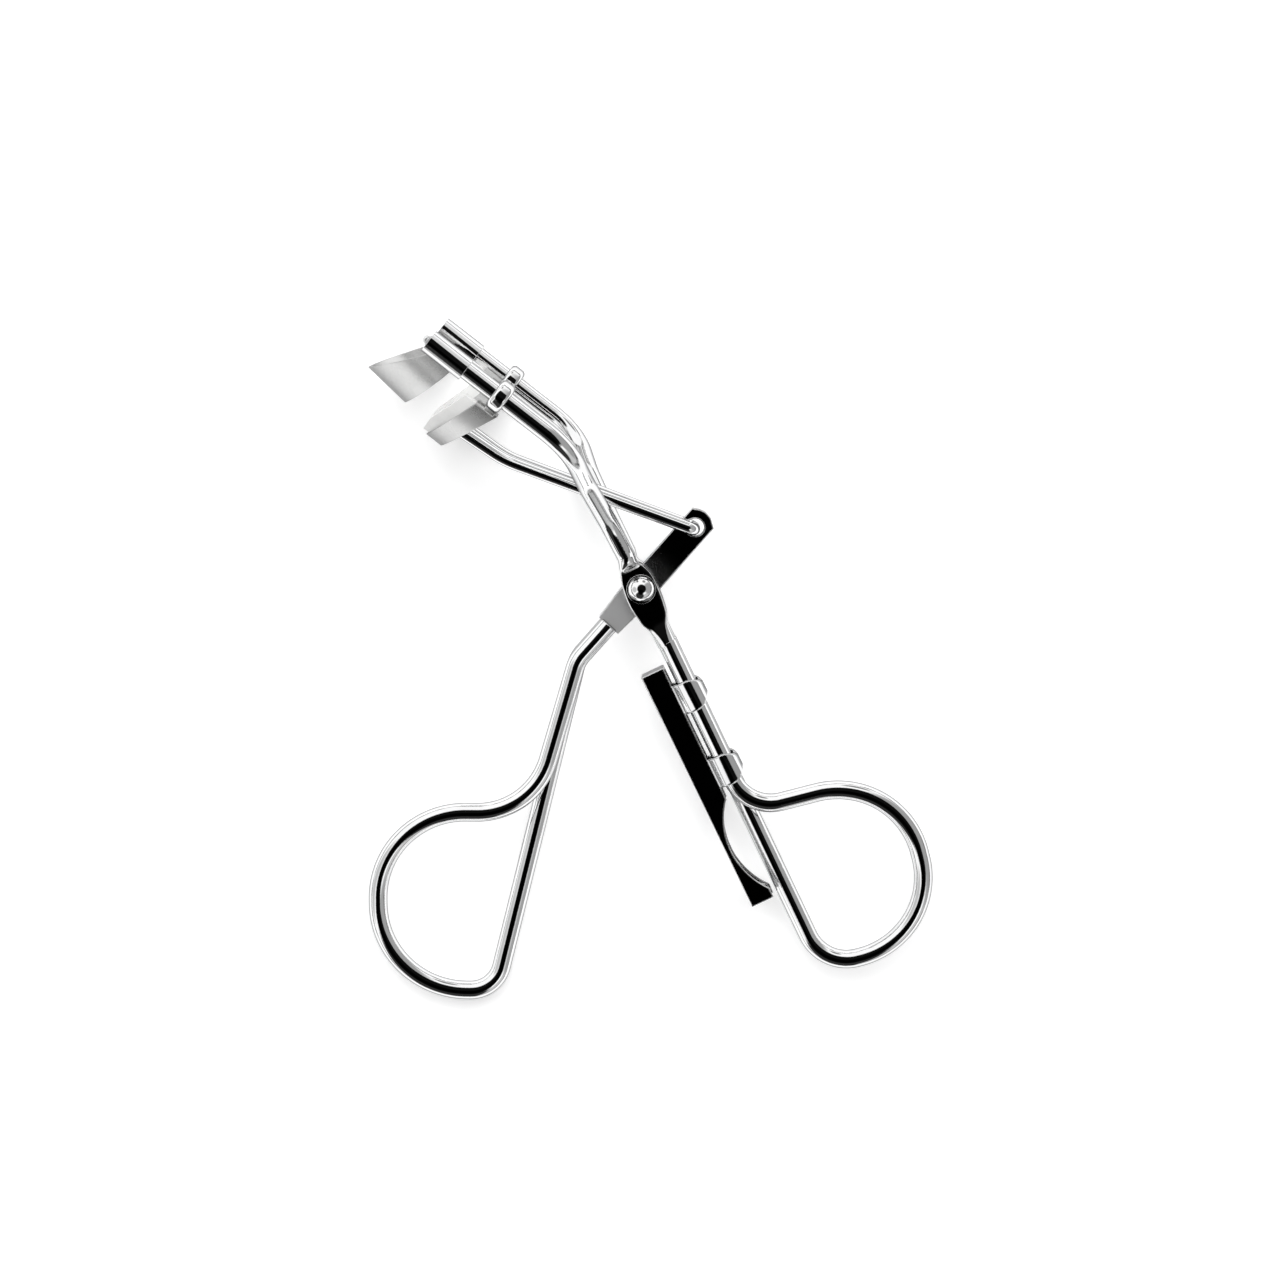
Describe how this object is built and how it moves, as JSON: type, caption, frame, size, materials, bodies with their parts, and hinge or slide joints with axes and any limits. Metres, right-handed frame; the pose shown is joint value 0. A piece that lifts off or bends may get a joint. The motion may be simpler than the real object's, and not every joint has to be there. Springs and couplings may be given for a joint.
{
  "type": "eyelash curler",
  "caption": "Wire-frame eyelash curler with curved upper jaw, sliding padded lower jaw on guide rods, pivoting lever, finger loops and a clip on one handle.",
  "frame": {"origin": "centre of the pivot rivet, on the mid-plane between the two wires of each handle", "axes": "+Y from the finger loops towards the jaws, +X towards the fixed loop, +Z along the rivet, up when the curler lies on its side"},
  "size_m": [0.0871, 0.1048, 0.0354],
  "materials": {
    "polished_wire": "mirror-polished nickel or chrome plate",
    "mirror_sheet": "mirror-polished plated sheet",
    "satin_steel": "soft satin",
    "silicone": "matt translucent white silicone"
  },
  "bodies": {
    "frame": {"near_guide_rod": "polished_wire", "far_guide_rod": "polished_wire", "near_pivot_plate": "polished_wire", "far_pivot_plate": "polished_wire", "fixed_finger_loop": "polished_wire", "upper_jaw": "satin_steel", "near_jaw_socket": "polished_wire", "far_jaw_socket": "polished_wire", "near_rod_stud": "polished_wire", "pivot_rivet": "polished_wire", "near_rivet_washer": "polished_wire", "far_rivet_washer": "polished_wire", "handle_clip": "mirror_sheet"},
    "lever": {"lever_bar": "mirror_sheet", "near_hole_rim": "polished_wire", "far_hole_rim": "polished_wire", "moving_finger_loop": "polished_wire"},
    "carriage": {"lower_jaw": "satin_steel", "silicone_pad": "silicone", "near_eyelet": "polished_wire", "far_eyelet": "polished_wire", "near_push_wire": "polished_wire", "far_push_wire": "polished_wire"}
  },
  "joints": [
    {"name": "handle_pivot", "type": "hinge", "parent": "frame", "child": "lever", "pos_m": [0, 0, 0], "axis": [0, 0, 1], "range_deg": [-6, 17.8]},
    {"name": "lower_jaw_slide", "type": "slide", "parent": "frame", "child": "carriage", "axis": [-0.788, 0.6157, 0], "range_m": [-0.0014, 0.0039]}
  ],
  "couplings": [
    {"joint": "lower_jaw_slide", "follows": "handle_pivot", "m_per_rad": 0.01235}
  ]
}
